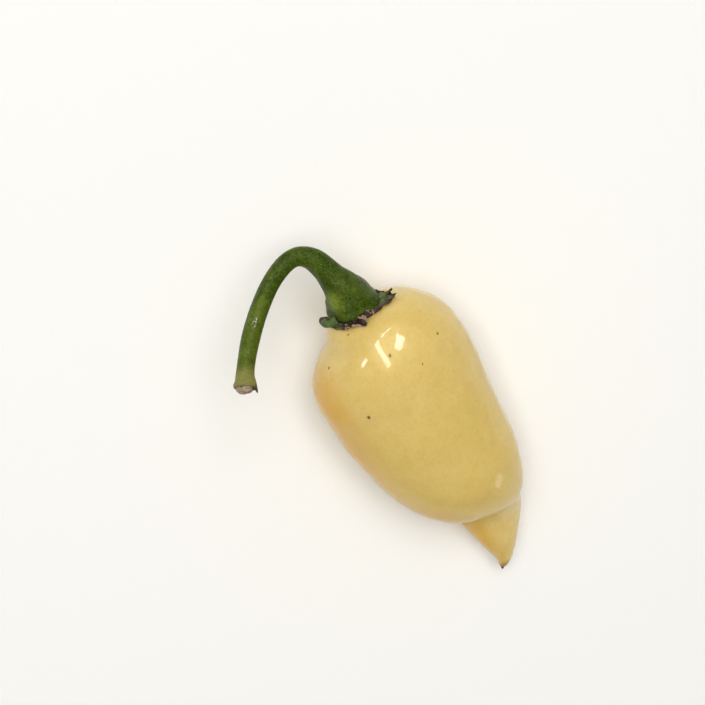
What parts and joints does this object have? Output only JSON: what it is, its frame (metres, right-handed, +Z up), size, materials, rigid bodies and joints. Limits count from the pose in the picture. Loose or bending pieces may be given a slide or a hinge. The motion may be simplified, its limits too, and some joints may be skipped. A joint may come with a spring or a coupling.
{
  "type": "chilli pepper",
  "caption": "Pale yellow chilli pepper as picked, lying on its side: blunt glossy pod folded over a short pointed tail, frilled calyx and a long hooked green stem with a corky cut end.",
  "frame": {"origin": "the middle of the small flat spot that the pepper rests on, on the surface it lies on", "axes": "+X from the stem end to the pod's pointed tip, along the pod; +Y across the pod, away from the side that the stem hooks over; +Z up from the surface"},
  "size_m": [0.0841, 0.0435, 0.0345],
  "materials": {
    "pod_skin": "glossy waxy skin, faintly mottled cream yellow",
    "calyx_rim": "matt, green with dry brown ragged edges",
    "stem_green": "satin green stalk with a tan corky cut end"
  },
  "bodies": {
    "root": {"pod": "pod_skin", "calyx": "calyx_rim", "stem": "stem_green"}
  },
  "joints": []
}
